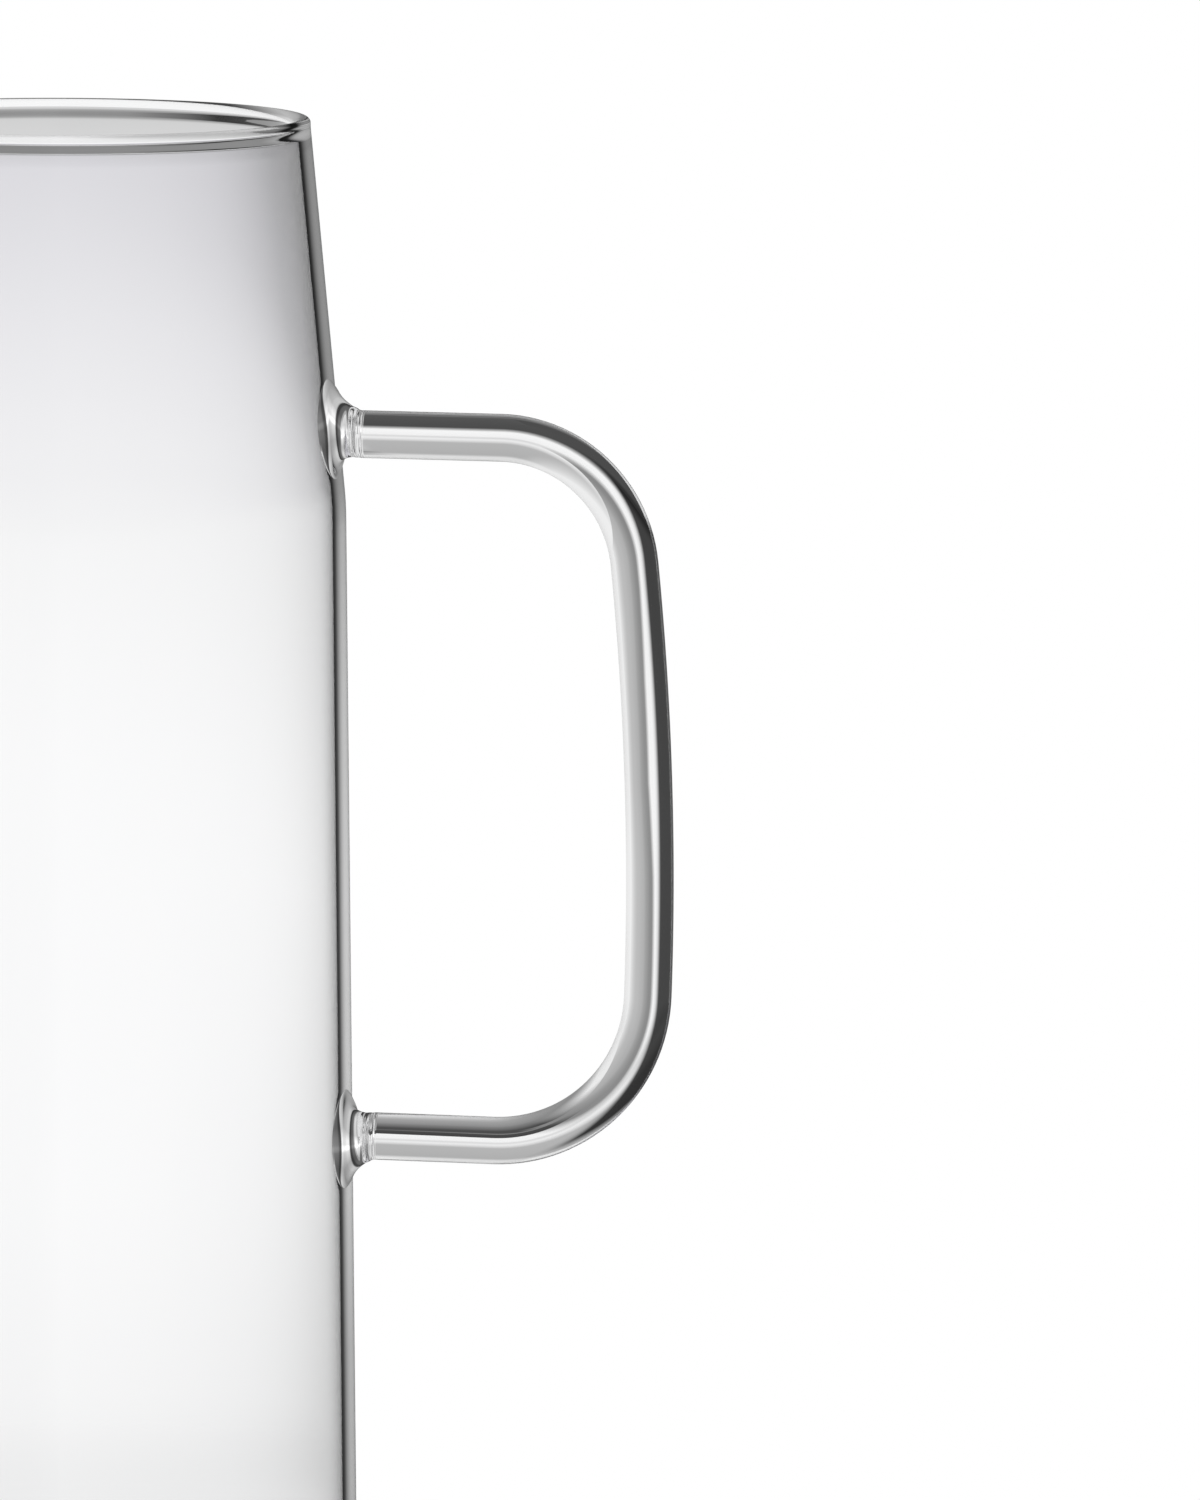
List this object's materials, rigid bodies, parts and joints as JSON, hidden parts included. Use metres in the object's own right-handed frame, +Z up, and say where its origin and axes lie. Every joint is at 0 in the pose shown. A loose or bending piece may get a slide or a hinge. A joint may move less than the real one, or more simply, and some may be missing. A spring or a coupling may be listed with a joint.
{
  "type": "glass pitcher",
  "caption": "Clear glass pitcher: a straight vessel that narrows to a tapered neck with a pulled pouring lip, and a bent rod handle welded to its wall.",
  "frame": {"origin": "centre of the flat base, on the surface that the pitcher stands on", "axes": "+Z up along the vessel's axis, +X towards the handle, -X towards the pouring lip"},
  "size_m": [0.1574, 0.1024, 0.26],
  "materials": {
    "clear_glass": "clear, fire-polished"
  },
  "bodies": {
    "root": {"vessel": "clear_glass", "handle": "clear_glass", "upper_weld": "clear_glass", "lower_weld": "clear_glass"}
  },
  "joints": []
}
